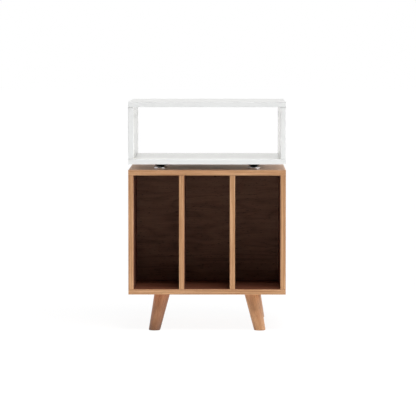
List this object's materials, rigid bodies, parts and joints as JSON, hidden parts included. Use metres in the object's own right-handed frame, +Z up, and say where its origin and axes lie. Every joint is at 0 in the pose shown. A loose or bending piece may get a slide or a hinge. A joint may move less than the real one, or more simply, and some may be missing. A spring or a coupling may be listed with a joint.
{
  "type": "hi-fi stand",
  "caption": "Hi-fi stand: open record cabinet with upright bays on splayed round legs, under a loose white open riser box on low levelling feet.",
  "frame": {"origin": "on the floor, in the middle of the footprint", "axes": "+Z up, the open front looks along -Y, +X to the right seen from the front"},
  "size_m": [0.48, 0.45, 0.7005],
  "materials": {
    "veneered_board": "satin lacquered veneer, light outside and dark walnut inside",
    "walnut_panel": "satin dark walnut",
    "veneer_lipping": "satin",
    "turned_leg": "satin lacquer",
    "white_melamine": "satin",
    "white_edging": "satin",
    "zinc_casting": "as cast",
    "zinc_plated_steel": "bright",
    "black_steel": "satin",
    "beech_dowel": "bare",
    "chrome_plate": "polished",
    "black_plastic": "satin",
    "rubber_pad": "matt"
  },
  "bodies": {
    "cabinet": {"cabinet_top": "veneered_board", "cabinet_bottom": "veneered_board", "cabinet_left_side": "veneered_board", "cabinet_right_side": "veneered_board", "left_divider": "veneered_board", "right_divider": "veneered_board", "back_panel": "walnut_panel", "top_lipping": "veneer_lipping", "bottom_lipping": "veneer_lipping", "left_side_lipping": "veneer_lipping", "right_side_lipping": "veneer_lipping", "left_divider_lipping": "veneer_lipping", "right_divider_lipping": "veneer_lipping", "leg_front_left": "turned_leg", "leg_front_right": "turned_leg", "leg_rear_left": "turned_leg", "leg_rear_right": "turned_leg", "cabinet_cam_locks": "zinc_casting", "cabinet_cam_bolts": "zinc_plated_steel", "cabinet_screws": "zinc_plated_steel", "cabinet_dowels": "beech_dowel", "leg_bolts": "zinc_plated_steel", "leg_inserts": "zinc_plated_steel", "leg_dowels": "beech_dowel"},
    "riser": {"riser_top": "white_melamine", "riser_bottom": "white_melamine", "riser_left_side": "white_melamine", "riser_right_side": "white_melamine", "riser_top_lipping": "white_edging", "riser_bottom_lipping": "white_edging", "riser_left_lipping": "white_edging", "riser_right_lipping": "white_edging", "riser_cam_locks": "zinc_casting", "riser_cam_bolts": "zinc_plated_steel", "riser_screws": "zinc_plated_steel", "riser_dowels": "beech_dowel", "foot_inserts": "black_steel"},
    "foot_front_left": {"foot_front_left_base": "chrome_plate", "foot_front_left_hub": "black_plastic", "foot_front_left_stem": "zinc_plated_steel", "foot_front_left_pad": "rubber_pad"},
    "foot_front_right": {"foot_front_right_base": "chrome_plate", "foot_front_right_hub": "black_plastic", "foot_front_right_stem": "zinc_plated_steel", "foot_front_right_pad": "rubber_pad"},
    "foot_rear_left": {"foot_rear_left_base": "chrome_plate", "foot_rear_left_hub": "black_plastic", "foot_rear_left_stem": "zinc_plated_steel", "foot_rear_left_pad": "rubber_pad"},
    "foot_rear_right": {"foot_rear_right_base": "chrome_plate", "foot_rear_right_hub": "black_plastic", "foot_rear_right_stem": "zinc_plated_steel", "foot_rear_right_pad": "rubber_pad"}
  },
  "joints": [
    {"name": "riser_lift", "type": "slide", "parent": "cabinet", "child": "riser", "axis": [0, 0, 1], "range_m": [0, 0.2]},
    {"name": "foot_front_left_level", "type": "slide", "parent": "riser", "child": "foot_front_left", "axis": [0, 0, 1], "range_m": [0, 0.0025]},
    {"name": "foot_front_right_level", "type": "slide", "parent": "riser", "child": "foot_front_right", "axis": [0, 0, 1], "range_m": [0, 0.0025]},
    {"name": "foot_rear_left_level", "type": "slide", "parent": "riser", "child": "foot_rear_left", "axis": [0, 0, 1], "range_m": [0, 0.0025]},
    {"name": "foot_rear_right_level", "type": "slide", "parent": "riser", "child": "foot_rear_right", "axis": [0, 0, 1], "range_m": [0, 0.0025]}
  ]
}
